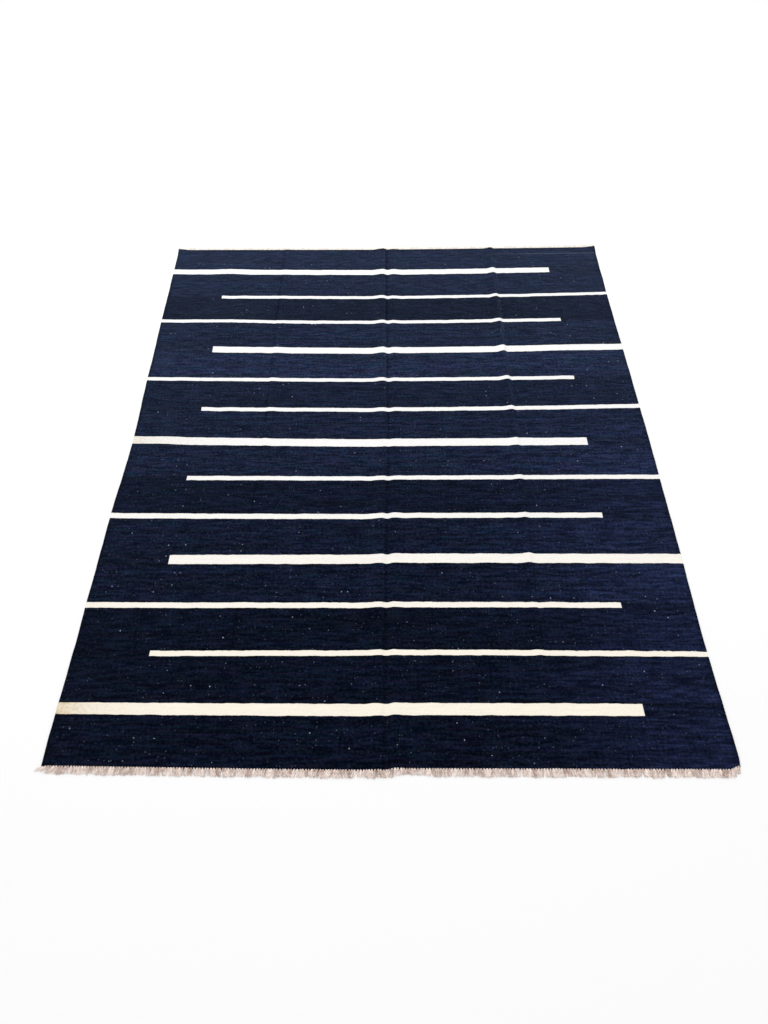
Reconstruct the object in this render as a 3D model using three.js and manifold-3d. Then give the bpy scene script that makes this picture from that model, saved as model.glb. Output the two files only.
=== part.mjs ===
// A flat-woven wool kilim rug laid out on the floor, in millimetres, +Z up.
// X runs across the cloth along its wefts, and +Y runs along its warps to the far end.
// It is one woven cloth, with the cut ends of its warps as a fringe at each end.
// The cloth was stored folded into four panels, and each fold has left a low ridge along its length.
import * as THREE from "three";
import { mergeVertices } from "three/addons/utils/BufferGeometryUtils.js";
import Module from "manifold-3d";

const wasm = await Module();
wasm.setup();

// Driving dimensions
const WIDTH = 2440; // across the wefts, 8 ft
const LENGTH = 3050; // along the warps without the fringe, 10 ft
const CLOTH = 3; // thickness of the weave
const BARS = 13; // ivory weft bands, evenly spaced
const BAR_PITCH = LENGTH / (BARS + 1);
const ROWS_A_PITCH = 1.25; // rows of points along the cloth for each bar pitch
const FRINGE_LENGTH = 24; // a lock from its root, midway in the strip that holds it, to its cut tip
const FRINGE_STRIP = 5; // depth of that strip
const LOCKS = 150; // locks of warp ends at each end of the cloth
const LOCK_WIDTH = 11.5;
const ROOT_INSET = 0.2; // a lock's root stays this far inside the strip's top and underside
const SEAM_GAP = 0.3; // between the cloth and each fringe's strip

const HALF_WIDTH = WIDTH / 2;
const HALF_LENGTH = LENGTH / 2;

// How the hand-woven outline and the wefts wander, at even stations from the far end to the near end.
// left, right: how far each side edge lies to the right of its straight line.
// middle: how far the wefts are carried to the far end, and leftTip, rightTip: how much more at the sides.
// step: how much more they are carried just right of the middle fold than just left of it.
const WANDER = [
  { left: -9, right: -2, middle: -9, leftTip: 4, rightTip: 21, step: 3 },
  { left: -4, right: -3, middle: -13, leftTip: 14, rightTip: 30, step: 1 },
  { left: 4, right: 2, middle: -15, leftTip: 12, rightTip: 25, step: 4.5 },
  { left: 14, right: 5, middle: -2, leftTip: 17, rightTip: 13, step: 4 },
  { left: 1, right: 3, middle: 5, leftTip: 3, rightTip: 5, step: 6 },
  { left: -2, right: -2, middle: 4, leftTip: 1, rightTip: -4, step: 2 },
  { left: -9, right: 7, middle: -5, leftTip: 18, rightTip: 0, step: 6 },
];
const TIP_POWER = 1.3; // the wefts turn more and more towards the sides
const STEP_REACH = 50; // how wide the middle fold's step is

// The corners that the selvedge has drawn. x, y: how far the tip is drawn, and reach: how far round it.
const CORNERS = [
  { side: -1, down: 0, x: -4.5, y: 9, reach: 70 },
  { side: 1, down: 0, x: 4.5, y: 9, reach: 70 },
  { side: 1, down: LENGTH, x: -4, y: 13, reach: 45 },
];
const CORNER_REACH = Math.max(...CORNERS.map((corner) => corner.reach));
const CORNER_STEPS = [0, 0.3, 0.6, 1].map((share) => CORNER_REACH * share); // points round a corner

// The fold ridges. farAt, nearAt: the crest's place across the cloth at each end.
// left, right: how far its flanks reach. rises: its height at even stations from the far end to the near end.
const RIDGES = [
  { farAt: -584, nearAt: -600, left: 22, right: 60, rises: [2.5, 1, 3.2, 2.6, 0.8, 0.6, 1] },
  { farAt: -21, nearAt: -42, left: 64, right: 26, rises: [9, 7, 10, 3, 7.6, 8.4, 7.4] },
  { farAt: 33, nearAt: 12, left: 27, right: 54, rises: [3.6, 4.4, 3.4, 1.4, 3.4, 3.8, 6.2] },
  { farAt: 606, nearAt: 574, left: 44, right: 24, rises: [7.8, 8.8, 11.2, 6.8, 6.6, 4.6, 2.8] },
];
const FLANK_STEPS = [0, 0.35, 0.7]; // points on a flank, as shares of the way from its foot to the crest
const PANEL_COLUMNS = 3; // even columns of points between one ridge and the next

// Gentle swells where the cloth isn't flat. x, y: the middle. halfX, halfY: the reach. rise: the height.
const SWELLS = [
  { x: -890, y: 1290, halfX: 150, halfY: 210, rise: 4.5 },
  { x: -840, y: 850, halfX: 300, halfY: 190, rise: 4.5 },
  { x: -1090, y: 0, halfX: 130, halfY: 260, rise: 4 },
  { x: 900, y: 600, halfX: 250, halfY: 300, rise: 3 },
  { x: 330, y: -1100, halfX: 260, halfY: 240, rise: 2.5 },
];

// How the warp ends lie, from the left side to the right. near, far: their lean to the right, in degrees.
const LEANS = [
  { near: -8, far: -14 },
  { near: -12, far: -4 },
  { near: 8, far: 7 },
  { near: -9, far: -8 },
  { near: 12, far: 5 },
  { near: -7, far: 9 },
  { near: 7, far: -6 },
  { near: 6, far: 4 },
  { near: -8, far: 10 },
];

const CORNER_LEAN = { near: -45, far: 0 }; // and how much more at the left corner
const LEAN_REACH = 130;

// A lock's sections from its root to its tip. share: the way along it. wide, tall: its size there.
// held: 1 where its base is at the strip's height, 0 where it lies level on the floor.
const LOCK_SECTIONS = [
  { share: 0, wide: LOCK_WIDTH, tall: CLOTH - 2 * ROOT_INSET, held: 1 },
  { share: 0.4, wide: LOCK_WIDTH, tall: CLOTH - 0.4, held: 0 },
  { share: 1, wide: LOCK_WIDTH * 0.6, tall: CLOTH - 1.6, held: 0 },
];

const smooth = (s) => s * s * (3 - 2 * s);
const clamp01 = (s) => Math.min(1, Math.max(0, s));

// The value of a column of even stations at share t along them, eased from one station to the next.
function eased(values, t) {
  const at = clamp01(t) * (values.length - 1);
  const before = Math.min(Math.floor(at), values.length - 2);
  return THREE.MathUtils.lerp(values[before], values[before + 1], smooth(at - before));
}

const wanderAt = (name, t) => eased(WANDER.map((station) => station[name]), t);

const crestOf = (ridge, t) => THREE.MathUtils.lerp(ridge.farAt, ridge.nearAt, t);

// The height of the cloth's underside over the floor, at across from its middle and share t from the far end.
function lift(across, t) {
  const y = HALF_LENGTH - t * LENGTH;
  const ridges = RIDGES.map((ridge) => {
    const aside = across - crestOf(ridge, t);
    const reach = aside < 0 ? ridge.left : ridge.right;
    return eased(ridge.rises, t) * smooth(1 - clamp01(Math.abs(aside) / reach));
  });
  const swells = SWELLS.map((swell) => {
    const away = Math.hypot((across - swell.x) / swell.halfX, (y - swell.y) / swell.halfY);
    return swell.rise * smooth(1 - clamp01(away));
  });
  return Math.max(...ridges, ...swells);
}

// Where a point of the cloth lies on the floor. past: how far beyond the cloth's end, for the fringe.
function placeOf(across, t, past = 0) {
  const side = across / HALF_WIDTH;
  const edge = THREE.MathUtils.lerp(wanderAt("left", t), wanderAt("right", t), (side + 1) / 2);
  const tip = wanderAt(side < 0 ? "leftTip" : "rightTip", t) * Math.abs(side) ** TIP_POWER;
  const step = wanderAt("step", t) * smooth(clamp01(across / STEP_REACH + 0.5)) * (1 - Math.abs(side));
  const outward = t < 0.5 ? 1 : -1;
  const place = {
    x: across + edge,
    y: HALF_LENGTH - t * LENGTH + wanderAt("middle", t) + tip + step + outward * past,
  };
  for (const corner of CORNERS) {
    const away = Math.hypot(t * LENGTH - corner.down, across - corner.side * HALF_WIDTH);
    const drawn = smooth(1 - clamp01(away / corner.reach));
    place.x += corner.x * drawn;
    place.y += corner.y * drawn;
  }
  return place;
}

// Columns of points across at share t: the sides, each ridge's feet, flanks and crest, and even ones between.
function columnsAt(t) {
  const columns = CORNER_STEPS.map((step) => step - HALF_WIDTH);
  const evenlyTo = (foot) => {
    const from = columns.at(-1);
    for (let k = 1; k <= PANEL_COLUMNS; k++)
      columns.push(THREE.MathUtils.lerp(from, foot, k / (PANEL_COLUMNS + 1)));
  };
  RIDGES.forEach((ridge, index) => {
    const crest = crestOf(ridge, t);
    const sharesFoot = index > 0 && crest - ridge.left - columns.at(-1) < ridge.left;
    if (!sharesFoot) evenlyTo(crest - ridge.left);
    for (const step of sharesFoot ? FLANK_STEPS.slice(1) : FLANK_STEPS)
      columns.push(crest - ridge.left * (1 - step));
    columns.push(crest);
    for (const step of [...FLANK_STEPS].reverse()) columns.push(crest + ridge.right * (1 - step));
  });
  evenlyTo(HALF_WIDTH - CORNER_REACH);
  return [...columns, ...[...CORNER_STEPS].reverse().map((step) => HALF_WIDTH - step)];
}

// A closed sheet through a grid of points on its underside, rows from the far end to the near end.
function sheetGeometry(rows) {
  const across = rows[0].length;
  const under = rows.flat();
  const points = [...under, ...under.map(({ x, y, z }) => ({ x, y, z: z + CLOTH }))];
  const top = under.length;
  const faces = [];
  const quad = (a, b, c, d) => faces.push(a, b, c, a, c, d);
  for (let r = 0; r + 1 < rows.length; r++)
    for (let c = 0; c + 1 < across; c++) {
      const a = r * across + c;
      const b = a + across;
      quad(top + b, top + b + 1, top + a + 1, top + a);
      quad(b, a, a + 1, b + 1);
    }
  // The rim goes round the sheet with the cloth on its left.
  const last = (rows.length - 1) * across;
  const rim = [];
  for (let c = 0; c < across; c++) rim.push(last + c);
  for (let r = rows.length - 2; r >= 0; r--) rim.push(r * across + across - 1);
  for (let c = across - 2; c >= 0; c--) rim.push(c);
  for (let r = 1; r + 1 < rows.length; r++) rim.push(r * across);
  rim.forEach((a, i) => {
    const b = rim[(i + 1) % rim.length];
    quad(a, b, top + b, top + a);
  });
  return geometryOf(points, faces);
}

function geometryOf(points, faces) {
  const geometry = new THREE.BufferGeometry();
  const positions = points.flatMap(({ x, y, z }) => [x, y, z]);
  geometry.setAttribute("position", new THREE.Float32BufferAttribute(positions, 3));
  geometry.setIndex(faces);
  return geometry;
}

// The woven cloth: rows of points close together at the corners and a part of a bar pitch apart between them.
function clothGeometry() {
  const inner = LENGTH - 2 * CORNER_REACH;
  const steps = Math.round(inner / (BAR_PITCH / ROWS_A_PITCH));
  const fromFar = [
    ...CORNER_STEPS.slice(0, -1),
    ...Array.from({ length: steps + 1 }, (_, step) => CORNER_REACH + (step / steps) * inner),
    ...CORNER_STEPS.slice(0, -1).reverse().map((step) => LENGTH - step),
  ];
  return sheetGeometry(
    fromFar.map((down) => {
      const t = down / LENGTH;
      return columnsAt(t).map((across) => ({ ...placeOf(across, t), z: lift(across, t) }));
    }),
  );
}

// One lock of warp ends: a three-sided strand with a flat base, from inside the strip to its cut tip.
// Its base comes down from the strip's height to its second section, and lies level on the floor from there.
function lockGeometry(index, end) {
  const t = end === "far" ? 0 : 1;
  const outward = end === "far" ? 1 : -1;
  const across = ((index + 0.5) / LOCKS - 0.5) * (WIDTH - LOCK_WIDTH / 2);
  const corner = CORNER_LEAN[end] * smooth(1 - clamp01((across + HALF_WIDTH) / LEAN_REACH));
  const lean = THREE.MathUtils.degToRad(eased(LEANS.map((row) => row[end]), (index + 0.5) / LOCKS) + corner);
  // Two slow waves and a short one cut the tips uneven.
  const uneven = Math.sin(index * 0.41) + 0.8 * Math.sin(index * 1.37 + 2) + 0.7 * Math.sin(index * 3.1 + t);
  const length = FRINGE_LENGTH * (1 + 0.07 * uneven);
  const root = placeOf(across, t, SEAM_GAP + FRINGE_STRIP / 2);
  const points = LOCK_SECTIONS.flatMap(({ share, wide, tall, held }) => {
    const bend = lean * Math.sqrt(share);
    const x = root.x + Math.sin(bend) * length * share;
    const y = root.y + outward * Math.cos(bend) * length * share;
    return [-0.5, 0.5, 0].map((aside) => ({
      x: x + aside * wide,
      y,
      z: held * (ROOT_INSET + lift(across + aside * wide, t)) + (aside === 0 ? tall : 0),
    }));
  });
  const faces = [0, 1, 2];
  for (let s = 0; s + 1 < LOCK_SECTIONS.length; s++)
    for (let k = 0; k < 3; k++) {
      const [a, b] = [3 * s + k, 3 * s + ((k + 1) % 3)];
      faces.push(a, a + 3, b, b, a + 3, b + 3);
    }
  const tip = 3 * (LOCK_SECTIONS.length - 1);
  faces.push(tip, tip + 2, tip + 1);
  if (outward > 0) return geometryOf(points, faces);
  for (let i = 0; i < faces.length; i += 3) [faces[i + 1], faces[i + 2]] = [faces[i + 2], faces[i + 1]];
  return geometryOf(points, faces);
}

function solidOf(geometry) {
  const merged = mergeVertices(geometry, 1e-4);
  return new wasm.Manifold(
    new wasm.Mesh({
      numProp: 3,
      vertProperties: new Float32Array(merged.getAttribute("position").array),
      triVerts: new Uint32Array(merged.index.array),
    }),
  );
}

// The fringe at one end: a narrow strip just off the cloth's edge, with the locks' roots fused into it.
function fringeGeometry(end) {
  const t = end === "far" ? 0 : 1;
  const edges = [SEAM_GAP, SEAM_GAP + FRINGE_STRIP];
  const rows = (end === "far" ? edges.reverse() : edges).map((past) =>
    columnsAt(t).map((across) => ({ ...placeOf(across, t, past), z: lift(across, t) })),
  );
  const locks = Array.from({ length: LOCKS }, (_, index) => solidOf(lockGeometry(index, end)));
  const mesh = wasm.Manifold.union([solidOf(sheetGeometry(rows)), ...locks]).getMesh();
  const geometry = new THREE.BufferGeometry();
  geometry.setAttribute("position", new THREE.BufferAttribute(mesh.vertProperties, 3));
  geometry.setIndex(new THREE.BufferAttribute(mesh.triVerts, 1));
  return geometry;
}

const navyWool = new THREE.MeshStandardMaterial({ color: "#16203a", roughness: 0.95, metalness: 0 });
const warpYarn = new THREE.MeshStandardMaterial({ color: "#d8c8bc", roughness: 0.95, metalness: 0 });

function piece(name, geometry, material) {
  const mesh = new THREE.Mesh(geometry, material);
  mesh.name = name;
  return mesh;
}

const rug = new THREE.Group();
rug.add(
  piece("woven_field", clothGeometry(), navyWool),
  piece("fringe_far", fringeGeometry("far"), warpYarn),
  piece("fringe_near", fringeGeometry("near"), warpYarn),
);

// The frame's origin is on the floor under the middle of the whole rug.
const middle = new THREE.Box3().setFromObject(rug).getCenter(new THREE.Vector3());
rug.position.set(-middle.x, -middle.y, 0);

export default rug;
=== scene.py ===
# A hand-woven wool kilim rug, lying flat on a pale floor.
# Sizes are in metres where no comment says mm. +X goes across the cloth along its wefts, +Y along its warps
# to the far end, and +Z up.
import math

import bpy
import numpy as np
from mathutils import Matrix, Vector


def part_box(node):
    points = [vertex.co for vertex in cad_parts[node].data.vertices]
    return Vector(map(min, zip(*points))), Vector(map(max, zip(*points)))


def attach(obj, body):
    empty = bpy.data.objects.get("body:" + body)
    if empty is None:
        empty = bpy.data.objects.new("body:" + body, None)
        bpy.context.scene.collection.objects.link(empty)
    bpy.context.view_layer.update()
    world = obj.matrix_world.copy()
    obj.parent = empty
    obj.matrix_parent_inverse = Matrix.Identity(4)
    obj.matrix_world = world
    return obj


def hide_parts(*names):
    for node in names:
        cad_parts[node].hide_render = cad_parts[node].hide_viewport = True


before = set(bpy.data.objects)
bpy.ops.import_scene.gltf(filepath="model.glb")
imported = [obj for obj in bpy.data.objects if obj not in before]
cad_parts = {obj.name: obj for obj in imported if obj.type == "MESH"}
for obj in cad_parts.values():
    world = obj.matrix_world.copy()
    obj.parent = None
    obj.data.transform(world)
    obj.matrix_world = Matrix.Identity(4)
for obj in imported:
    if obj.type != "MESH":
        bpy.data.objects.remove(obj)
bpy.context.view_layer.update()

# The woven field
# One cloth of hand-spun wool, weft-faced: the wefts are beaten down so tightly that they hide the warps.
# It is woven in one piece, with the ivory bars as wefts of their own, each turned back short of one side.
# It was stored folded into four panels, and each fold has left a low ridge along its length.
WIDTH, LENGTH, CLOTH = 2.44, 3.05, 0.003
WEFT_PITCH, WARP_PITCH = 1.6, 2.7  # how far apart the wefts and the warps are, in mm

# How the outline and the wefts wander, in mm, at even stations from the far end to the near end.
# left, right: how far each side edge lies to the right of its straight line.
# middle: how far the wefts are carried towards the far end. left_tip, right_tip: how much more at the sides.
# step: how much more they are carried just right of the middle fold than just left of it.
WANDER = [
    {"left": -9, "right": -2, "middle": -9, "left_tip": 4, "right_tip": 21, "step": 3},
    {"left": -4, "right": -3, "middle": -13, "left_tip": 14, "right_tip": 30, "step": 1},
    {"left": 4, "right": 2, "middle": -15, "left_tip": 12, "right_tip": 25, "step": 4.5},
    {"left": 14, "right": 5, "middle": -2, "left_tip": 17, "right_tip": 13, "step": 4},
    {"left": 1, "right": 3, "middle": 5, "left_tip": 3, "right_tip": 5, "step": 6},
    {"left": -2, "right": -2, "middle": 4, "left_tip": 1, "right_tip": -4, "step": 2},
    {"left": -9, "right": 7, "middle": -5, "left_tip": 18, "right_tip": 0, "step": 6},
]
TIP_POWER = 1.3  # the power of the way to a side by which its tip is added
STEP_REACH = 0.05  # how wide the middle fold's step is

# The corners that the selvedge has drawn. side, down: the side and the end that each is at.
# x, y: how far its tip is drawn, and reach: how far round it that is felt, in mm.
CORNERS = [
    {"side": -1, "down": 0, "x": -4.5, "y": 9, "reach": 70},
    {"side": 1, "down": 0, "x": 4.5, "y": 9, "reach": 70},
    {"side": 1, "down": LENGTH, "x": -4, "y": 13, "reach": 45},
]

# The fold ridges, in mm. far_at, near_at: the crest's place across the cloth at each end.
# left, right: how far its flanks reach. rises: its height at even stations from the far end to the near end.
# crease_at: how far right of the crest the fold pressed the cloth, and crease: how strongly the painted shade
# along that line shows.
RIDGES = [
    {"far_at": -584, "near_at": -600, "left": 22, "right": 60, "crease_at": -12, "crease": 0.35,
     "rises": [2.5, 1, 3.2, 2.6, 0.8, 0.6, 1]},
    {"far_at": -21, "near_at": -42, "left": 64, "right": 26, "crease_at": 19, "crease": 0.62,
     "rises": [9, 7, 10, 3, 7.6, 8.4, 7.4]},
    {"far_at": 33, "near_at": 12, "left": 27, "right": 54, "crease_at": 0, "crease": 0,
     "rises": [3.6, 4.4, 3.4, 1.4, 3.4, 3.8, 6.2]},
    {"far_at": 606, "near_at": 574, "left": 44, "right": 24, "crease_at": 12, "crease": 0.42,
     "rises": [7.8, 8.8, 11.2, 6.8, 6.6, 4.6, 2.8]},
]

# Gentle swells where the cloth doesn't lie quite flat, in mm. x, y: the middle. half_x, half_y: the reach.
SWELLS = [
    {"x": -890, "y": 1290, "half_x": 150, "half_y": 210, "rise": 4.5},
    {"x": -840, "y": 850, "half_x": 300, "half_y": 190, "rise": 4.5},
    {"x": -1090, "y": 0, "half_x": 130, "half_y": 260, "rise": 4},
    {"x": 900, "y": 600, "half_x": 250, "half_y": 300, "rise": 3},
    {"x": 330, "y": -1100, "half_x": 260, "half_y": 240, "rise": 2.5},
]

# The ivory bars from the far end, in mm. side: the edge that each starts from. ends_at: where it stops.
# wide: its width. left, middle, right: how far it strays from its even place towards the far end.
BARS = [
    {"side": "left", "ends_at": 926, "wide": 44, "left": 3, "middle": -1, "right": 5},
    {"side": "right", "ends_at": -917, "wide": 23, "left": -8, "middle": -7, "right": -3},
    {"side": "left", "ends_at": 932, "wide": 24, "left": 5.5, "middle": 2.5, "right": 0},
    {"side": "right", "ends_at": -917, "wide": 44, "left": 7, "middle": -4.5, "right": -2.5},
    {"side": "left", "ends_at": 932, "wide": 24, "left": -2, "middle": -4.5, "right": -8.5},
    {"side": "right", "ends_at": -921, "wide": 25.5, "left": -2.5, "middle": -0.5, "right": 6},
    {"side": "left", "ends_at": 925, "wide": 46, "left": 4.5, "middle": -2, "right": -4},
    {"side": "right", "ends_at": -924, "wide": 24, "left": -4, "middle": -0.5, "right": -3.5},
    {"side": "left", "ends_at": 924, "wide": 27, "left": 5.5, "middle": 1, "right": 0},
    {"side": "right", "ends_at": -923, "wide": 45, "left": -4.5, "middle": -2.5, "right": -6},
    {"side": "left", "ends_at": 927, "wide": 24.5, "left": 0, "middle": -3, "right": -5},
    {"side": "right", "ends_at": -923, "wide": 22.5, "left": 4.5, "middle": 6, "right": 2.5},
    {"side": "left", "ends_at": 924, "wide": 45.5, "left": -0.5, "middle": 0.5, "right": -1.5},
]

# How light the navy yarn of each stretch between the bars is, from the far end: partly each stretch's own dye
# lot, partly painted light that makes the far stretches lighter.
LOTS_AND_FAR_LIGHT = [1.14, 1.11, 0.48, 1.28, 1.88, 1.02, 1.22, 1.34, 0.72, 0.92, 0.85, 0.55, 0.59, 0.57]

# Where handling has yellowed the ivory at the left side. down: how far from the far end a patch's middle is.
# half: half its depth. reach: how far in from the side it fades.
YELLOWED = [
    {"down": LENGTH - 0.22, "half": 0.3, "reach": 0.1, "strength": 1},
    {"down": LENGTH / 2, "half": 0.2, "reach": 0.2, "strength": 0.5},
]

SIDE_CORD = 0.0007  # how far the doubled warps at each selvedge stand up
CORD_IN, CORD_HALF = 0.0045, 0.003  # how far in from the side their middle is, and half their width
THREADS_STRAY = 0.0009  # how far the threads wander from their even places
SELVEDGE = 0.009  # how far in the navy is darker, along each selvedge and the far end
EDGE_ROUND = 0.003  # the radius that the wefts turn back on
EDGE_THIN = 0.3  # the share of the cloth's thickness that is left at its very edge
CREASE_HALF = 0.0065  # half the width of a pressed line
PRESSED_FROM = 0.12  # how strongly a crease shows where its fibre is pressed down
FAR_PACKED = 0.009  # the depth of the first wefts at the far end, beaten down harder than the rest
DYE_CHANGE = 0.008  # the depth in which one dye lot gives way to the next
SLACK_PICK = 0.06  # how far from the far end a slack pick lies

# How far apart the surface's grid lines are. Round each fold, side and end: the reach, and the spacing there.
GRID_ACROSS, GRID_DOWN = 0.0135, 0.0162
FOLD_LINES, SIDE_LINES, END_LINES = (0.05, 0.004), (0.006, 0.0012), (0.006, 0.0015)


def smooth(share):
    """Eases 0 to 1 with level ends: s * s * (3 - 2 s), with s held between 0 and 1."""
    share = np.clip(share, 0, 1)
    return share * share * (3 - 2 * share)


def eased(values, share):
    """The value of even stations at a share of the way along them, eased from each station to the next."""
    at = np.clip(share, 0, 1) * (len(values) - 1)
    before = np.minimum(at.astype(int), len(values) - 2)
    values = np.asarray(values, float)
    return values[before] + (values[before + 1] - values[before]) * smooth(at - before)


def wander(name, share):
    """How far the outline or the wefts wander there, eased between the stations, in metres."""
    return eased([station[name] for station in WANDER], share) / 1000


def crest(ridge, share):
    """Where a ridge's crest is across the cloth, on a straight line between its two ends, in metres."""
    return (ridge["far_at"] + (ridge["near_at"] - ridge["far_at"]) * share) / 1000


def lift(across, down):
    """How high the cloth's underside is over the floor: the highest of its ridges and swells there.

    A ridge eases from its feet up to its crest, and a swell eases up to the middle of its ellipse.
    """
    high = np.zeros(np.broadcast(across, down).shape)
    for ridge in RIDGES:
        aside = across - crest(ridge, down / LENGTH)
        reach = np.where(aside < 0, ridge["left"], ridge["right"]) / 1000
        rise = eased(ridge["rises"], down / LENGTH) / 1000
        high = np.maximum(high, rise * smooth(1 - np.abs(aside) / reach))
    for swell in SWELLS:
        x = (across * 1000 - swell["x"]) / swell["half_x"]
        y = ((LENGTH / 2 - down) * 1000 - swell["y"]) / swell["half_y"]
        high = np.maximum(high, swell["rise"] / 1000 * smooth(1 - np.hypot(x, y)))
    return high


# The cloth's middle on the floor, worked out from its solid's right side and near end.
solid_low, solid_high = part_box("woven_field")
MIDDLE_X = solid_high[0] - WIDTH / 2 - WANDER[-1]["right"] / 1000
MIDDLE_Y = solid_low[1] + LENGTH / 2 - WANDER[-1]["middle"] / 1000


def lay(across, down):
    """Where a point of the flat cloth lies on the floor, as x and y.

    Across is moved by how the two side edges wander, mixed in proportion. Down is carried along by its weft's
    middle, by its tip as a power of the way to the side, and by the step, which fades from the middle fold to
    the right side. Each drawn corner eases back to nothing at its reach.
    """
    share = down / LENGTH
    side = across / (WIDTH / 2)
    edge = wander("left", share) + (wander("right", share) - wander("left", share)) * (side + 1) / 2
    tip = np.where(side < 0, wander("left_tip", share), wander("right_tip", share))
    x = MIDDLE_X + across + edge
    step = wander("step", share) * smooth(across / STEP_REACH + 0.5) * (1 - np.abs(side))
    y = MIDDLE_Y + LENGTH / 2 - down + wander("middle", share) + tip * np.abs(side) ** TIP_POWER + step
    for corner in CORNERS:
        away = np.hypot(down - corner["down"], across - corner["side"] * WIDTH / 2)
        drawn = smooth(1 - away / (corner["reach"] / 1000)) / 1000
        x, y = x + corner["x"] * drawn, y + corner["y"] * drawn
    return x, y


def spread(low, high, spacing, close_spots):
    """Grid lines from low to high, spacing apart, and closer round each (place, reach, close spacing) spot.

    The lines' density is 1 / spacing plus a bell round each spot, and they cut its running sum evenly.
    """
    fine = np.linspace(low, high, 20001)
    density = np.full(fine.shape, 1 / spacing)
    for place, reach, close in close_spots:
        density += (1 / close - 1 / spacing) * np.exp(-(((fine - place) / reach) ** 4))
    total = np.concatenate([[0], np.cumsum((density[1:] + density[:-1]) / 2 * np.diff(fine))])
    return np.interp(np.linspace(0, total[-1], int(total[-1]) + 1), total, fine)


def rolling(across, down, size, seed):
    """Smooth uneven ground, mostly between -1 and 1.

    It is a fifth of the sum of twelve seeded plane waves, each about size long.
    """
    dice = np.random.default_rng(seed)
    total = 0
    for _ in range(12):
        turn, phase = dice.uniform(0, 2 * math.pi, 2)
        wave = 2 * math.pi / (size * dice.uniform(0.7, 1.5))
        total = total + np.sin((across * math.cos(turn) + down * math.sin(turn)) * wave + phase)
    return total / 5


def new_piece(name, points, faces, maps=None, values=None):
    """A smooth-shaded mesh object from arrays.

    maps gives each UV map as a (u, v) for each face corner, and values each attribute as a number a point.
    """
    mesh = bpy.data.meshes.new(name)
    mesh.from_pydata(points, [], faces)
    mesh.polygons.foreach_set("use_smooth", np.ones(len(mesh.polygons), bool))
    for map_name, corners in (maps or {}).items():
        layer = mesh.uv_layers.new(name=map_name)
        layer.data.foreach_set("uv", np.ascontiguousarray(corners, np.float32).ravel())
    for value_name, numbers in (values or {}).items():
        attribute = mesh.attributes.new(value_name, "FLOAT", "POINT")
        attribute.data.foreach_set("value", np.ascontiguousarray(numbers, np.float32).ravel())
    mesh.validate()
    thing = bpy.data.objects.new(name, mesh)
    bpy.context.scene.collection.objects.link(thing)
    return thing


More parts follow.
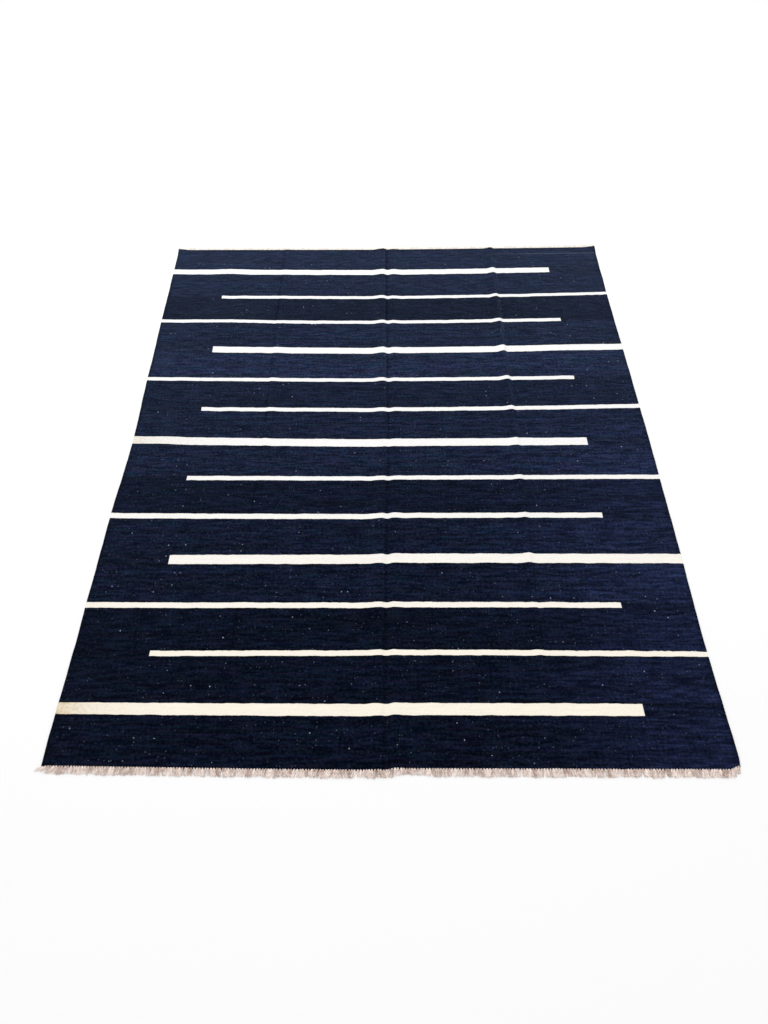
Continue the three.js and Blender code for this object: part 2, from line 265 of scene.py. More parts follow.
def weave_cloth():
    """The cloth as a closed sheet: a top grid and the same grid again as its underside, joined round the rim.

    The top follows the lift of the folds, one cloth thickness up, with a slight rolling unevenness. Near an
    edge it comes down in a quarter round, and beside each selvedge it has a low cord.
    """
    spots = [(crest(ridge, 0.5), *FOLD_LINES) for ridge in RIDGES]
    spots += [(side * WIDTH / 2, *SIDE_LINES) for side in (-1, 1)]
    columns = spread(-WIDTH / 2, WIDTH / 2, GRID_ACROSS, spots)
    rows = spread(0, LENGTH, GRID_DOWN, [(0, *END_LINES), (LENGTH, *END_LINES)])
    across, down = np.meshgrid(columns, rows)
    from_side = WIDTH / 2 - np.abs(across)
    from_end = np.minimum(down, LENGTH - down)
    x, y = lay(across, down)
    x = x + THREADS_STRAY * rolling(across, down, 0.09, 3)
    y = y + THREADS_STRAY * rolling(across, down, 0.11, 4)
    under = lift(across, down)
    inside = np.clip(np.minimum(from_side, from_end) / EDGE_ROUND, 0, 1)
    rounding = np.sqrt(1 - (1 - inside) ** 2)
    cord = SIDE_CORD * np.exp(-(((from_side - CORD_IN) / CORD_HALF) ** 2))
    uneven = 0.0004 * rolling(across, down, 0.16, 5) + 0.0002 * rolling(across, down, 0.05, 6)
    thick = CLOTH * (EDGE_THIN + (1 - EDGE_THIN) * rounding)
    top = under + thick + (cord + uneven) * rounding
    under_points = np.stack([x, y, under], -1).reshape(-1, 3)
    points = np.concatenate([np.stack([x, y, top], -1).reshape(-1, 3), under_points])

    count = across.size
    numbers = np.arange(count).reshape(across.shape)
    near_left, near_right = numbers[1:, :-1].ravel(), numbers[1:, 1:].ravel()
    far_left, far_right = numbers[:-1, :-1].ravel(), numbers[:-1, 1:].ravel()
    top_faces = np.stack([near_left, near_right, far_right, far_left], 1)
    under_faces = np.stack([far_left, far_right, near_right, near_left], 1) + count
    rim = np.concatenate([numbers[-1], numbers[-2::-1, -1], numbers[0, -2::-1], numbers[1:-1, 0]])
    after = np.roll(rim, -1)
    rim_faces = np.stack([rim + count, after + count, after, rim], 1)
    faces = np.concatenate([top_faces, under_faces, rim_faces])

    # The weave map is in metres of flat cloth. The bake map has three strips with a margin round them: the
    # underside's, the rim's, and above them the top's, which has most of the room.
    margin, under_to, rim_from, rim_to, top_from, top_to = 0.002, 0.102, 0.108, 0.12, 0.128, 0.998
    flat = np.tile(np.stack([across.ravel(), down.ravel()], 1), (2, 1))
    room = np.stack([flat[:, 0] / WIDTH + 0.5, 1 - flat[:, 1] / LENGTH], 1)
    bake = room[faces] * (1 - 2 * margin) + margin
    kinds = np.repeat([0, 1, 2], [len(top_faces), len(under_faces), len(rim_faces)])
    bake[kinds == 0, :, 1] = room[top_faces][..., 1] * (top_to - top_from) + top_from
    bake[kinds == 1, :, 1] = room[top_faces][:, ::-1][..., 1] * (under_to - margin) + margin
    along = np.arange(len(rim)) / len(rim)
    bake[kinds == 2, :, 0] = np.stack([along, along + 1 / len(rim), along + 1 / len(rim), along], 1)
    bake[kinds == 2, :, 1] = [rim_from, rim_from, rim_to, rim_to]

    beyond_bar, beyond_end = bar_places(across, down)
    # Painted light and shade are in these values: the navy's lightness rises towards the far end, the ivory
    # whitens towards it, and each crease carries a painted dark line.
    values = {
        "beyond_bar": beyond_bar,
        "beyond_end": beyond_end,
        "crease": np.max([crease_line(ridge, across, down) for ridge in RIDGES], 0),
        "selvedge": np.exp(-((np.minimum(from_side, down) / SELVEDGE) ** 2)),
        "lot_and_far_light": lot_and_far_light(across, down),
        "age": bar_age(across, down),
        "far_light_share": 1 - down / LENGTH,
    }
    values = {name: np.tile(numbers.ravel(), 2) for name, numbers in values.items()}
    cloth = new_piece("kilim_weave", points, faces, {"weave": flat[faces], "OFBake": bake}, values)
    # The first material is the open weave's. The second is for the folds, where the loose fibre is pressed
    # down. The third has no bloom, for the turned edges and the first wefts at the far end.
    turned = np.minimum(from_side, from_end).ravel()[top_faces].mean(1) < EDGE_ROUND
    packed = down.ravel()[top_faces].mean(1) < FAR_PACKED
    pressed = values["crease"][top_faces].mean(1) > PRESSED_FROM
    kind = np.where(turned | packed, 2, np.where(pressed, 1, 0))
    cloth.data.polygons.foreach_set("material_index", np.concatenate([kind, kind, np.full(len(rim), 2)]))
    return cloth


def bar_line(number, across):
    """How far down the cloth a bar's middle line is: its even place, less how far it strays there.

    The straying is mixed from its middle to its side by the square of the way there.
    """
    bar = BARS[number - 1]
    side = across / (WIDTH / 2)
    tip = np.where(side < 0, bar["left"], bar["right"])
    return LENGTH * number / (len(BARS) + 1) - (bar["middle"] + (tip - bar["middle"]) * side**2) / 1000


def bar_places(across, down):
    """How far each point is outside the nearest bar's long edges, and beyond its short end, in metres."""
    gaps, ends = [], []
    for number, bar in enumerate(BARS, 1):
        gaps.append(np.abs(down - bar_line(number, across)) - bar["wide"] / 2000)
        sign = 1 if bar["side"] == "left" else -1
        ends.append(sign * (across - bar["ends_at"] / 1000))
    gaps, ends = np.array(gaps), np.array(ends)
    nearest = gaps.argmin(0)[None]
    return np.take_along_axis(gaps, nearest, 0)[0], np.take_along_axis(ends, nearest, 0)[0]


def crease_line(ridge, across, down):
    """How strongly the painted shade along a fold's pressed line shows: a bell across the line, coming and
    going along it.
    """
    line = crest(ridge, down / LENGTH) + ridge["crease_at"] / 1000
    along = 0.65 + 0.35 * rolling(0 * down, down, 0.17, 8)
    return ridge["crease"] * along * np.exp(-(((across - line) / CREASE_HALF) ** 2))


def lot_and_far_light(across, down):
    """The lightness of the navy, each stretch's own easing into the next at the line of each bar: partly dye
    lot, partly painted light that is higher towards the far end.
    """
    lot = np.full(across.shape, LOTS_AND_FAR_LIGHT[0])
    for number, change in enumerate(np.diff(LOTS_AND_FAR_LIGHT), 1):
        lot += change * smooth((down - bar_line(number, across)) / DYE_CHANGE + 0.5)
    return lot


def bar_age(across, down):
    """How yellowed the ivory is: each patch is a bell down the cloth that dies away from the left side."""
    age = 0
    for patch in YELLOWED:
        bell = np.exp(-(((down - patch["down"]) / patch["half"]) ** 2))
        age = age + patch["strength"] * bell * np.exp(-(across + WIDTH / 2) / patch["reach"])
    return age


weave = weave_cloth()


def linear(colour):
    """An sRGB hex colour as linear red, green, blue and 1.

    A dark channel is divided by 12.92. A lighter one, plus 0.055 and over 1.055, is raised to the power 2.4.
    """
    channels = np.array([int(colour[k : k + 2], 16) / 255 for k in (1, 3, 5)])
    light = np.where(channels <= 0.04045, channels / 12.92, ((channels + 0.055) / 1.055) ** 2.4)
    return (*light.tolist(), 1.0)


def add_node(tree, kind, settings=None, inputs=()):
    """Adds one node and returns its outputs. settings are the node's own properties.

    inputs are its sockets' values in order, or by name or number, each a value or the output that feeds it.
    """
    node = tree.nodes.new(kind)
    for name, value in (settings or {}).items():
        setattr(node, name, value)
    for socket, value in inputs.items() if isinstance(inputs, dict) else enumerate(inputs):
        if isinstance(value, bpy.types.NodeSocket):
            tree.links.new(value, node.inputs[socket])
        else:
            node.inputs[socket].default_value = value
    return node.outputs


# The settings that many nodes share: arithmetic, an eased change of range, and one colour laid over another.
TIMES = {"operation": "MULTIPLY"}
PLUS = {"operation": "ADD"}
LESS = {"operation": "SUBTRACT"}
TIMES_PLUS = {"operation": "MULTIPLY_ADD"}
SCALED = {"operation": "SCALE"}
EASED = {"interpolation_type": "SMOOTHSTEP"}
LAID_OVER = {"data_type": "RGBA"}


def wool_weave(name, bloom):
    """Hand-spun wool, weft-faced plain weave, in navy and ivory. bloom is the weight of its sheen.

    Dull and soft, with a bluish bloom of loose fibre where it is seen low. Each length of yarn is a little
    darker or lighter than the next, so the navy is streaked and mottled along the wefts, with pale flecks
    and neps. Each eased range lists its value, low and high, and then what these two are carried to.
    """
    material = bpy.data.materials.new(name)
    material.use_nodes = True
    tree = material.node_tree
    tree.nodes.clear()
    flat = add_node(tree, "ShaderNodeUVMap", {"uv_map": "weave"})["UV"]
    place = add_node(tree, "ShaderNodeSeparateXYZ", None, [flat])
    woven_in = {
        value: add_node(tree, "ShaderNodeAttribute", {"attribute_name": value})["Fac"]
        for value in ("beyond_bar", "beyond_end", "crease", "selvedge", "lot_and_far_light", "age", "far_light_share")
    }

    def placed(across_mm, down_mm, shift=0.0):
        """The place on the flat cloth, in steps of so many mm across and down."""
        values = [flat, (1000 / across_mm, 1000 / down_mm, 0), (shift, shift * 1.7, 0)]
        return add_node(tree, "ShaderNodeVectorMath", TIMES_PLUS, values)["Vector"]

    def streaks(across_mm, down_mm, detail, shift):
        """Noise stretched to a size across and down the cloth, in mm. shift tells it from the others."""
        inputs = {"Vector": placed(across_mm, down_mm, shift), "Scale": 1, "Detail": detail}
        return add_node(tree, "ShaderNodeTexNoise", {"noise_dimensions": "2D"}, inputs)["Fac"]

    def specks(cell_mm, shift, least, radius, soft):
        """Round specks, at most one in each cell, where its chance is over least. Also a random number.

        radius and soft, the largest speck's radius and half its edge's softness, are shares of a cell.
        """
        inputs = {"Vector": placed(cell_mm, cell_mm * 1.2, shift), "Scale": 1, "Randomness": 1}
        cells = add_node(tree, "ShaderNodeTexVoronoi", {"voronoi_dimensions": "2D"}, inputs)
        chances = add_node(tree, "ShaderNodeSeparateColor", None, [cells["Color"]])
        # Specks come in rows, where one length of yarn held more of them than the next
        row = streaks(260, 9, 1, shift + 5)
        fuller = add_node(tree, "ShaderNodeMapRange", EASED, [row, 0.5, 0.7, 0, 0.2])["Result"]
        chance = add_node(tree, "ShaderNodeMath", PLUS, [chances[0], fuller])["Value"]
        size = add_node(tree, "ShaderNodeMapRange", EASED, [chance, least, 1, -soft, radius])["Result"]
        outside = add_node(tree, "ShaderNodeMath", LESS, [cells["Distance"], size])["Value"]
        speck = add_node(tree, "ShaderNodeMapRange", EASED, [outside, -soft, soft, 1, 0])["Result"]
        return speck, chances[1]

    # Navy yarn in bands from two dye baths, bluer towards the near right corner
    bath = add_node(tree, "ShaderNodeMapRange", EASED, [streaks(180, 16, 3, 3.1), 0.38, 0.62])["Result"]
    baths = {0: bath, 6: linear("#030f21"), 7: linear("#0a0c22")}
    navy = add_node(tree, "ShaderNodeMix", LAID_OVER, baths)[2]
    rightwards = add_node(tree, "ShaderNodeMapRange", EASED, [place["X"], 0.2, 1.3, 0, 0.75])["Result"]
    nearwards = add_node(tree, "ShaderNodeMapRange", EASED, [place["Y"], 0.9, 2.7])["Result"]
    bluer = add_node(tree, "ShaderNodeMath", TIMES, [rightwards, nearwards])["Value"]
    navy = add_node(tree, "ShaderNodeMix", LAID_OVER, {0: bluer, 6: navy, 7: linear("#1b2343")})[2]

    # Its lightness: the lot's, partly painted light towards the far end, times that of bands some 20 mm deep,
    # of lengths of yarn, of the mottle and the short streaks of hand spinning, and of the painted shadow
    # beside a bar
    lengths, mottle = streaks(90, 13, 2, 15.3), streaks(11, 10, 1, 21.9)
    lightness = woven_in["lot_and_far_light"]
    for value, low, high, darkest, lightest in [
        (streaks(650, 20, 2, 7.7), 0.3, 0.7, 0.68, 1.38),
        (lengths, 0.3, 0.7, 0.68, 1.4),
        (streaks(55, 6.5, 2, 12.3), 0.28, 0.72, 0.66, 1.38),
        (mottle, 0.25, 0.75, 0.78, 1.24),
        (streaks(7, 90, 1, 27.5), 0.3, 0.7, 0.84, 1.2),
        (woven_in["beyond_bar"], 0.001, 0.009, 0.7, 1.0),
    ]:
        inputs = [value, low, high, darkest, lightest]
        change = add_node(tree, "ShaderNodeMapRange", EASED, inputs)["Result"]
        lightness = add_node(tree, "ShaderNodeMath", TIMES, [lightness, change])["Value"]
    navy = add_node(tree, "ShaderNodeVectorMath", SCALED, {0: navy, "Scale": lightness})["Vector"]

    # Greyer fibre that took less of the dye shows most where the yarn is thick. It is scaled by the navy's
    # lightness, so it also follows the painted light towards the far end
    thick = add_node(tree, "ShaderNodeMath", PLUS, [mottle, lengths])["Value"]
    greyer = add_node(tree, "ShaderNodeMapRange", EASED, [thick, 0.75, 1.3, 0, 0.115])["Result"]
    greyer = add_node(tree, "ShaderNodeMath", TIMES, [greyer, woven_in["lot_and_far_light"]])["Value"]

    # Faint flecks of paler fibre, and neps: tight knots of fibre that took hardly any dye
    fleck, chance = specks(cell_mm=11, shift=61, least=0.89, radius=0.16, soft=0.08)
    faint = add_node(tree, "ShaderNodeMapRange", EASED, [chance, 0, 1, 0.03, 0.28])["Result"]
    fleck = add_node(tree, "ShaderNodeMath", TIMES, [fleck, faint])["Value"]
    nep, chance = specks(cell_mm=24, shift=71, least=0.972, radius=0.1, soft=0.035)
    faint = add_node(tree, "ShaderNodeMath", {"operation": "POWER"}, [chance, 2.2])["Value"]
    nep = add_node(tree, "ShaderNodeMath", TIMES, [nep, faint])["Value"]

    # A slack pick shows as a fine pale line in the right half
    aside = add_node(tree, "ShaderNodeMath", LESS, [place["Y"], SLACK_PICK])["Value"]
    aside = add_node(tree, "ShaderNodeMath", {"operation": "ABSOLUTE"}, [aside])["Value"]
    slack = add_node(tree, "ShaderNodeMapRange", EASED, [aside, 0.002, 0.006, 0.16, 0])["Result"]
    right_half = add_node(tree, "ShaderNodeMapRange", EASED, [place["X"], 0.5, 0.9])["Result"]
    slack = add_node(tree, "ShaderNodeMath", TIMES, [slack, right_half])["Value"]

    # Painted shade: each pressed fold is a fine dark line. The navy is also darker along each selvedge and at
    # the far end
    edge_dark = add_node(tree, "ShaderNodeMath", TIMES, [woven_in["selvedge"], 0.7])["Value"]
    fold_shade_and_edge_dark = add_node(tree, "ShaderNodeMath", {"operation": "MAXIMUM"}, [woven_in["crease"], edge_dark])["Value"]
    over_navy = [
        (greyer, "#44484e"),
        (fleck, "#7f8aa3"),
        (nep, "#8f98ac"),
        (slack, "#7f8aa3"),
        (fold_shade_and_edge_dark, "#05060b"),
    ]
    for share, colour in over_navy:
        navy = add_node(tree, "ShaderNodeMix", LAID_OVER, {0: share, 6: navy, 7: linear(colour)})[2]

    # Ivory yarn: undyed wool, yellowed in patches where handled, with painted light: creamier at the near end
    # and whiter towards the far end
    far_whitening = add_node(tree, "ShaderNodeMapRange", EASED, [woven_in["far_light_share"], 0.03, 0.5])["Result"]
    creams = {0: far_whitening, 6: linear("#f7efe0"), 7: linear("#f1f0ee")}
    ivory = add_node(tree, "ShaderNodeMix", LAID_OVER, creams)[2]
    grain = streaks(160, 4, 2, 33.3)
    shade = add_node(tree, "ShaderNodeMapRange", EASED, [grain, 0.3, 0.7, 0.97, 1.02])["Result"]
    ivory = add_node(tree, "ShaderNodeVectorMath", SCALED, {0: ivory, "Scale": shade})["Vector"]
    patches = streaks(14, 14, 2, 37.0)
    handled = add_node(tree, "ShaderNodeMapRange", EASED, [patches, 0.35, 0.65, 0.5, 1])["Result"]
    yellowed = add_node(tree, "ShaderNodeMath", TIMES, [woven_in["age"], handled])["Value"]
    ivory = add_node(tree, "ShaderNodeMix", LAID_OVER, {0: yellowed, 6: ivory, 7: linear("#cdb58c")})[2]

    # A bar's long edges waver with the yarn, and its short end is cut off by a warp
    waver = add_node(tree, "ShaderNodeMath", LESS, [streaks(26, 26, 2, 41.0), 0.5])["Value"]
    past_edge, past_end = woven_in["beyond_bar"], woven_in["beyond_end"]
    past_edge = add_node(tree, "ShaderNodeMath", TIMES_PLUS, [waver, 0.0035, past_edge])["Value"]
    within = add_node(tree, "ShaderNodeMapRange", EASED, [past_edge, -0.0007, 0.0007, 1, 0])["Result"]
    before_end = add_node(tree, "ShaderNodeMapRange", EASED, [past_end, -0.0012, 0.0012, 1, 0])["Result"]
    in_bar = add_node(tree, "ShaderNodeMath", TIMES, [within, before_end])["Value"]
    colour = add_node(tree, "ShaderNodeMix", LAID_OVER, {0: in_bar, 6: navy, 7: ivory})[2]

    # Relief: a pick of weft is high where it goes over a warp, and the whole is a little uneven
    crossings = placed(WARP_PITCH / math.pi, WEFT_PITCH / math.pi)
    turns = add_node(tree, "ShaderNodeSeparateXYZ", None, [crossings])
    over = add_node(tree, "ShaderNodeMath", {"operation": "SINE"}, [turns["X"]])["Value"]
    pick = add_node(tree, "ShaderNodeMath", {"operation": "SINE"}, [turns["Y"]])["Value"]
    relief = add_node(tree, "ShaderNodeMath", {"operation": "ABSOLUTE"}, [pick])["Value"]
    heights = [(over, pick), (streaks(60, 4, 3, 51.0), 5), (streaks(45, 26, 2, 57.0), 12)]
    for height, times in heights:
        relief = add_node(tree, "ShaderNodeMath", TIMES_PLUS, [height, times, relief])["Value"]
    bump = {"Strength": 0.4, "Distance": 0.0006, "Height": relief}

    inputs = {
        "Base Color": colour,
        "Roughness": 0.95,
        "Specular IOR Level": 0.0,
        "Sheen Weight": bloom,
        "Sheen Roughness": 0.35,
        "Sheen Tint": linear("#889ecb"),
        "Normal": add_node(tree, "ShaderNodeBump", None, bump)["Normal"],
    }
    shader = add_node(tree, "ShaderNodeBsdfPrincipled", None, inputs)["BSDF"]
    add_node(tree, "ShaderNodeOutputMaterial", None, {"Surface": shader})
    return material


weave.data.materials.append(wool_weave("hand-spun wool, weft-faced plain weave", 1.0))
weave.data.materials.append(wool_weave("hand-spun wool, pressed at a fold", 0.55))
weave.data.materials.append(wool_weave("hand-spun wool, beaten down hard at an edge", 0.0))
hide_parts("woven_field")
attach(weave, "root")

# The fringes
# The warps' cut ends at the near and the far end: undyed yarns in knots of nine, a knot every 10 mm.
# Each knot's root shows as a pale tooth on the last wefts, and its yarns lie fanned out on the floor.
KNOTS = 244
YARNS = 9
YARN_THICK = 0.0019
YARN_STEPS, YARN_SIDES = 7, 5  # the rings along a yarn, and the corners of each

# How the yarns lie, from the left side to the right, as a lean to the right in degrees.
LEANS = {"near": [-8, -12, 8, -9, 12, -7, 7, 6, -8], "far": [-14, -4, 7, -8, 5, 9, -6, 4, 10]}
CORNER_LEAN = {"near": -45, "far": 0}  # and how much more at the left corner
CORNER_REACH = 0.13  # how far in from that corner it is felt
FRINGE_LONG = 0.0245  # the length of a yarn outside the cloth
ROOT_INSIDE = 0.005  # how far in from the cloth's end it starts
ROOT_SPREAD, FAN_SPREAD = 0.0012, 0.0044  # half the width of a knot's yarns at its root, and where fanned out
FAN_LONG = 0.007  # how far out from the root they are fanned out
FALLS_IN = 0.012  # how far out from the cloth's end a yarn comes down to the floor
SHORT_OF_SIDE = 0.002  # how far in from each side the knots start
KNOTS_STRAY = 0.0005  # how far they wander from their even places
SHORTER = {"near": 0.22, "far": 0}  # the share by which the yarns are shorter just right of the middle fold
SHORTER_AT, SHORTER_HALF = 0.07, 0.08  # where that is across the cloth, and half its width
PLY_LAY = 0.005  # the length in which the two plies of a yarn turn once round each other

# How unevenly the yarns lie, in degrees: along the end, from knot to knot, from yarn to yarn, and in a bend.
LEAN_WAVERS, KNOT_LEANS, YARN_LEANS, YARN_BENDS = 11, 3, 5, 16
FAN_LEANS = 3  # how much more a knot's outermost yarns lean outwards, in degrees
LONG_WAVERS, YARN_LONG = 0.09, 0.05  # how uneven their lengths are: along the end, and from yarn to yarn


def waves(at, sizes, seed):
    """A smooth line between about -1 and 1 along the cloth's end: seeded sine waves of those sizes, added."""
    dice = np.random.default_rng(seed)
    total = sum(np.sin(at * 2 * math.pi / size + dice.uniform(0, 2 * math.pi)) for size in sizes)
    return total / math.sqrt(len(sizes))


def fringe(end):
    """All the yarns of one fringe as one mesh, each a tube of rings carried along its path.

    A path starts on the cloth just inside its end, comes down to the floor in an eased curve and runs out at
    its lean, turning a little more or less than its knot's on the way. The tube's radius eases up from three
    quarters at its root, and tapers in to its cut tip over the last quarter.
    """
    dice = np.random.default_rng(11 if end == "near" else 12)
    outward = -1 if end == "near" else 1
    down = LENGTH if end == "near" else 0.0
    knot = (np.arange(KNOTS) + 0.5) / KNOTS
    at = (knot - 0.5) * (WIDTH - 2 * SHORT_OF_SIDE) + dice.normal(0, KNOTS_STRAY, KNOTS)
    corner = CORNER_LEAN[end] * smooth(1 - knot * WIDTH / CORNER_REACH)
    lean = eased(LEANS[end], knot) + corner + LEAN_WAVERS * waves(at, [0.043, 0.071, 0.026], 21)
    lean = np.radians(lean + dice.normal(0, KNOT_LEANS, KNOTS))
    long = FRINGE_LONG * (1 + LONG_WAVERS * waves(at, [0.19, 0.083, 0.031], 22))
    long *= 1 - SHORTER[end] * np.exp(-(((at - SHORTER_AT) / SHORTER_HALF) ** 2))
    # Patches along the end where the yarns are darker or lighter: partly their own tone, partly painted shade
    # between the strands
    shade_and_tone = 0.5 + 0.4 * waves(at, [0.029, 0.05, 0.11], 23)

    yarn = np.tile(np.linspace(-1, 1, YARNS), KNOTS)
    at, lean, long, shade_and_tone = (np.repeat(line, YARNS) for line in (at, lean, long, shade_and_tone))
    lean = lean + np.radians(FAN_LEANS * yarn + dice.normal(0, YARN_LEANS, yarn.size))
    long = long * dice.normal(1, YARN_LONG, yarn.size)
    bend = np.radians(dice.normal(0, YARN_BENDS, yarn.size))
    over = dice.uniform(0, 1, yarn.size)
    root_x, root_y = lay(at + yarn * ROOT_SPREAD, np.full(at.shape, down))
    root_high = lift(at, np.full(at.shape, down)) + CLOTH

    step = np.linspace(0, 1, YARN_STEPS)
    heading = lean[:, None] * smooth(step * 2.5) + bend[:, None] * (step - 0.3)
    reach = (long + ROOT_INSIDE)[:, None] / (YARN_STEPS - 1)
    run = np.arange(YARN_STEPS) * reach
    fan = yarn[:, None] * (FAN_SPREAD - ROOT_SPREAD) * smooth(run / FAN_LONG)
    x = root_x[:, None] + np.cumsum(np.sin(heading) * reach, 1) + fan
    y = root_y[:, None] + outward * (np.cumsum(np.cos(heading) * reach, 1) - reach - ROOT_INSIDE)
    floor_high = YARN_THICK * (0.5 + 0.8 * over[:, None])
    high = root_high[:, None] + (floor_high - root_high[:, None]) * smooth((run - ROOT_INSIDE) / FALLS_IN)
    radius = YARN_THICK / 2 * (1 - 0.45 * smooth((step - 0.75) * 4)) * (0.75 + 0.25 * smooth(step * 4))

    path = np.stack([x, y, high], -1)
    along = np.gradient(path, axis=1)
    along /= np.linalg.norm(along, axis=-1, keepdims=True)
    aside = np.cross(along, [0, 0, 1.0])
    aside /= np.linalg.norm(aside, axis=-1, keepdims=True)
    above = np.cross(aside, along)
    around = np.arange(YARN_SIDES) * 2 * math.pi / YARN_SIDES
    ring = np.cos(around)[:, None] * aside[:, :, None] + np.sin(around)[:, None] * above[:, :, None]
    points = path[:, :, None] + ring * radius[None, :, None, None]

    # A wall's corners go once round each face of a tube, and a cap closes each of its ends.
    side_of, after = np.arange(YARN_SIDES), (np.arange(YARN_SIDES) + 1) % YARN_SIDES
    first = (np.arange(yarn.size) * YARN_STEPS * YARN_SIDES)[:, None, None]
    ring_of = first + (np.arange(YARN_STEPS - 1) * YARN_SIDES)[:, None]
    a, b = ring_of + side_of, ring_of + after
    walls = np.stack([a, a + YARN_SIDES, b + YARN_SIDES, b], -1)
    last = first[:, :, 0] + (YARN_STEPS - 1) * YARN_SIDES
    caps = np.concatenate([first[:, :, 0] + side_of, last + side_of[::-1]])
    faces = walls.reshape(-1, 4).tolist() + caps.tolist()

    # The yarn map is u once round the yarn, v its length in metres.
    lengths = run[:, :, None] * np.ones(YARN_SIDES)
    turns = np.stack([side_of, side_of, side_of + 1, side_of + 1], -1) / YARN_SIDES
    u = np.broadcast_to(turns, walls.shape)
    v = np.stack([lengths[:, :-1], lengths[:, 1:], lengths[:, 1:], lengths[:, :-1]], -1)
    yarn_map = np.concatenate([np.stack([u, v], -1).reshape(-1, 2), np.zeros((caps.size, 2))])
    tone = np.clip(shade_and_tone + dice.uniform(-0.4, 0.4, yarn.size), 0, 1)
    values = {
        "tone": np.repeat(tone, YARN_STEPS * YARN_SIDES),
        "along": np.tile(np.repeat(step, YARN_SIDES), yarn.size),
    }
    return new_piece("warp_fringe_" + end, points.reshape(-1, 3), faces, {"yarn": yarn_map}, values)


SHADE_PATCHES = 90  # how many patches of darker and lighter yarn, partly tone and partly painted shade, lie along each metre


def warp_yarn(name, dark, light):
    """Undyed two-ply warp yarn, cotton and wool spun thin and hard, mixed from its dark to its light colour.

    Pale and dull. Some yarns are greyer than others, partly their own tone and partly painted shade between
    the strands, and their loose tips are painted lighter.
    """
    material = bpy.data.materials.new(name)
    material.use_nodes = True
    tree = material.node_tree
    tree.nodes.clear()
    tone = add_node(tree, "ShaderNodeAttribute", {"attribute_name": "tone"})["Fac"]
    along = add_node(tree, "ShaderNodeAttribute", {"attribute_name": "along"})["Fac"]
    place = add_node(tree, "ShaderNodeTexCoord")["Object"]

    # How light a yarn is: mostly its own tone, painted lighter towards its tip, and lighter or darker in
    # patches of tone and painted shade
    patches = {"Vector": place, "Scale": SHADE_PATCHES, "Detail": 2}
    patch = add_node(tree, "ShaderNodeTexNoise", None, patches)["Fac"]
    share = add_node(tree, "ShaderNodeMath", TIMES_PLUS, [patch, 1.4, -0.74])["Value"]
    share = add_node(tree, "ShaderNodeMath", TIMES_PLUS, [along, 0.3, share])["Value"]
    yarn_lightness = add_node(tree, "ShaderNodeMath", {**TIMES_PLUS, "use_clamp": True}, [tone, 0.9, share])["Value"]
    colours = {0: yarn_lightness, 6: linear(dark), 7: linear(light)}
    colour = add_node(tree, "ShaderNodeMix", LAID_OVER, colours)[2]

    # Two plies wound round each other: a sine of twice the turn plus the length over the lay
    yarn_map = add_node(tree, "ShaderNodeUVMap", {"uv_map": "yarn"})["UV"]
    winding = [yarn_map, (4 * math.pi, 4 * math.pi / PLY_LAY, 0)]
    wound = add_node(tree, "ShaderNodeVectorMath", {"operation": "DOT_PRODUCT"}, winding)["Value"]
    plies = add_node(tree, "ShaderNodeMath", {"operation": "SINE"}, [wound])["Value"]
    bump = {"Strength": 0.5, "Distance": 0.0003, "Height": plies}

    inputs = {
        "Base Color": colour,
        "Roughness": 0.9,
        "Specular IOR Level": 0.1,
        "Sheen Weight": 0.2,
        "Sheen Roughness": 0.5,
        "Normal": add_node(tree, "ShaderNodeBump", None, bump)["Normal"],
    }
    shader = add_node(tree, "ShaderNodeBsdfPrincipled", None, inputs)["BSDF"]
    add_node(tree, "ShaderNodeOutputMaterial", None, {"Surface": shader})
    return material


# Each fringe's dark and light yarn colours. The far fringe's are painted paler, for the stronger light at the
# far end.
YARN_COLOURS = {"near": ("#b59b8f", "#fff0e8"), "far": ("#e6dfd4", "#fbf8f3")}
for end in ("near", "far"):
    yarns = fringe(end)
    yarns.data.materials.append(warp_yarn("undyed two-ply warp yarn, " + end, *YARN_COLOURS[end]))
    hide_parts("fringe_" + end)
    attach(yarns, "root")

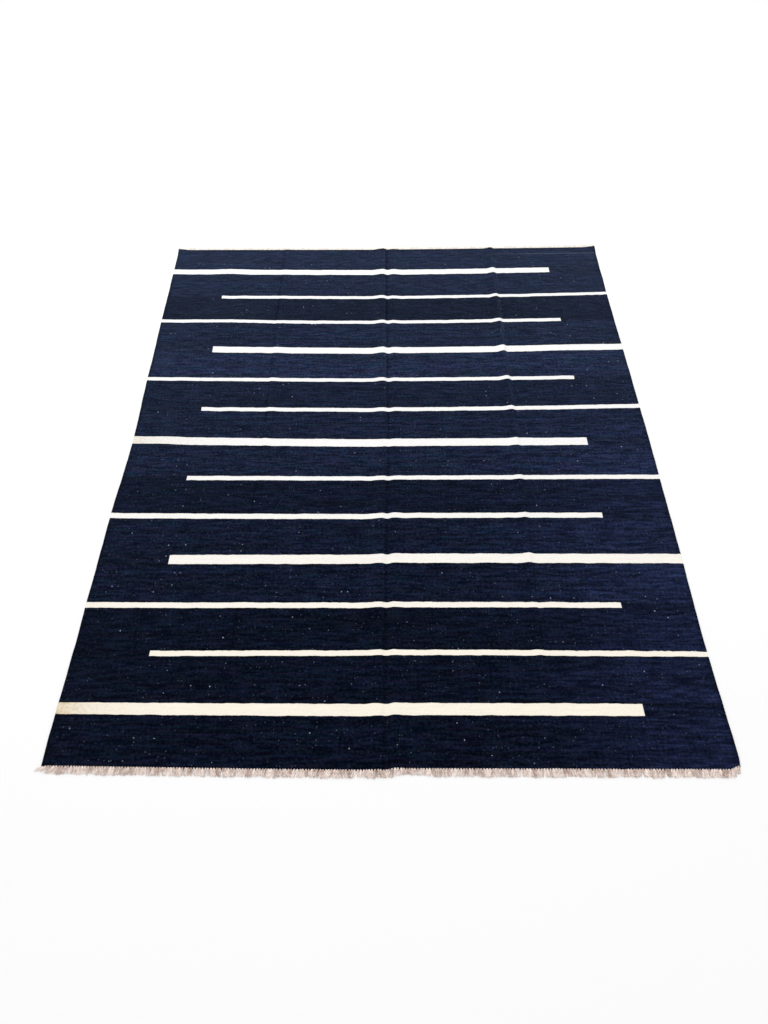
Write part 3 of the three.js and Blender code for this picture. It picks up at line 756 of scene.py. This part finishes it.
# The floor: plain and pale, with nothing on it but the rug.
FLOOR_HALF = 14
floor_corners = [(x * FLOOR_HALF, y * FLOOR_HALF, 0) for x, y in [(-1, -1), (1, -1), (1, 1), (-1, 1)]]
floor = new_piece("floor", floor_corners, [(0, 1, 2, 3)])
floor_paint = bpy.data.materials.new("matt white floor paint")
floor_paint.use_nodes = True
paint = floor_paint.node_tree.nodes["Principled BSDF"]
paint.inputs["Base Color"].default_value = linear("#f4f4f4")
paint.inputs["Roughness"].default_value = 0.9
paint.inputs["Specular IOR Level"].default_value = 0.1
floor.data.materials.append(floor_paint)

# Soft studio light: an even pale room, and one large soft lamp past the far end.
room = bpy.data.worlds.new("studio")
room.use_nodes = True
room.node_tree.nodes["Background"].inputs["Color"].default_value = (1, 1, 1, 1)
room.node_tree.nodes["Background"].inputs["Strength"].default_value = 1.0
bpy.context.scene.world = room
bpy.context.scene.view_settings.view_transform = "Standard"


def soft_lamp(name, place, aim, size, watts):
    """A square lamp at place that faces aim, both in metres."""
    data = bpy.data.lights.new(name, "AREA")
    data.size, data.energy = size, watts
    lamp = bpy.data.objects.new(name, data)
    bpy.context.scene.collection.objects.link(lamp)
    lamp.location = place
    away = np.subtract(aim, place)
    down_by = math.acos(-away[2] / np.linalg.norm(away))
    lamp.rotation_euler = (down_by, 0, math.atan2(away[1], away[0]) - math.pi / 2)


soft_lamp("far_lamp", place=(-1.0, 4.5, 2.6), aim=(0, 1.2, 0), size=2.5, watts=110)

# The camera: a phone held over the near end, looking down along the rug, placed from the cloth's middle.
EYE = (-0.0177, -2.3643, 2.6549)
TURN, TILT, ROLL = math.radians(-0.165), math.radians(53.557), math.radians(-0.273)
PHOTO_HIGH, FOCAL_PIXELS = 1024, 753.74
SENSOR = 36.0

lens = bpy.data.cameras.new("phone")
lens.sensor_fit = "VERTICAL"
lens.sensor_height = SENSOR
lens.lens = SENSOR * FOCAL_PIXELS / PHOTO_HIGH
lens.clip_end = 60
camera = bpy.data.objects.new("phone", lens)
bpy.context.scene.collection.objects.link(camera)
held = Matrix.Rotation(-TURN, 4, "Z") @ Matrix.Rotation(math.pi / 2 - TILT, 4, "X")
held = held @ Matrix.Rotation(ROLL, 4, "Z")
camera.matrix_world = Matrix.Translation((EYE[0] + MIDDLE_X, EYE[1] + MIDDLE_Y, EYE[2])) @ held
bpy.context.scene.camera = camera
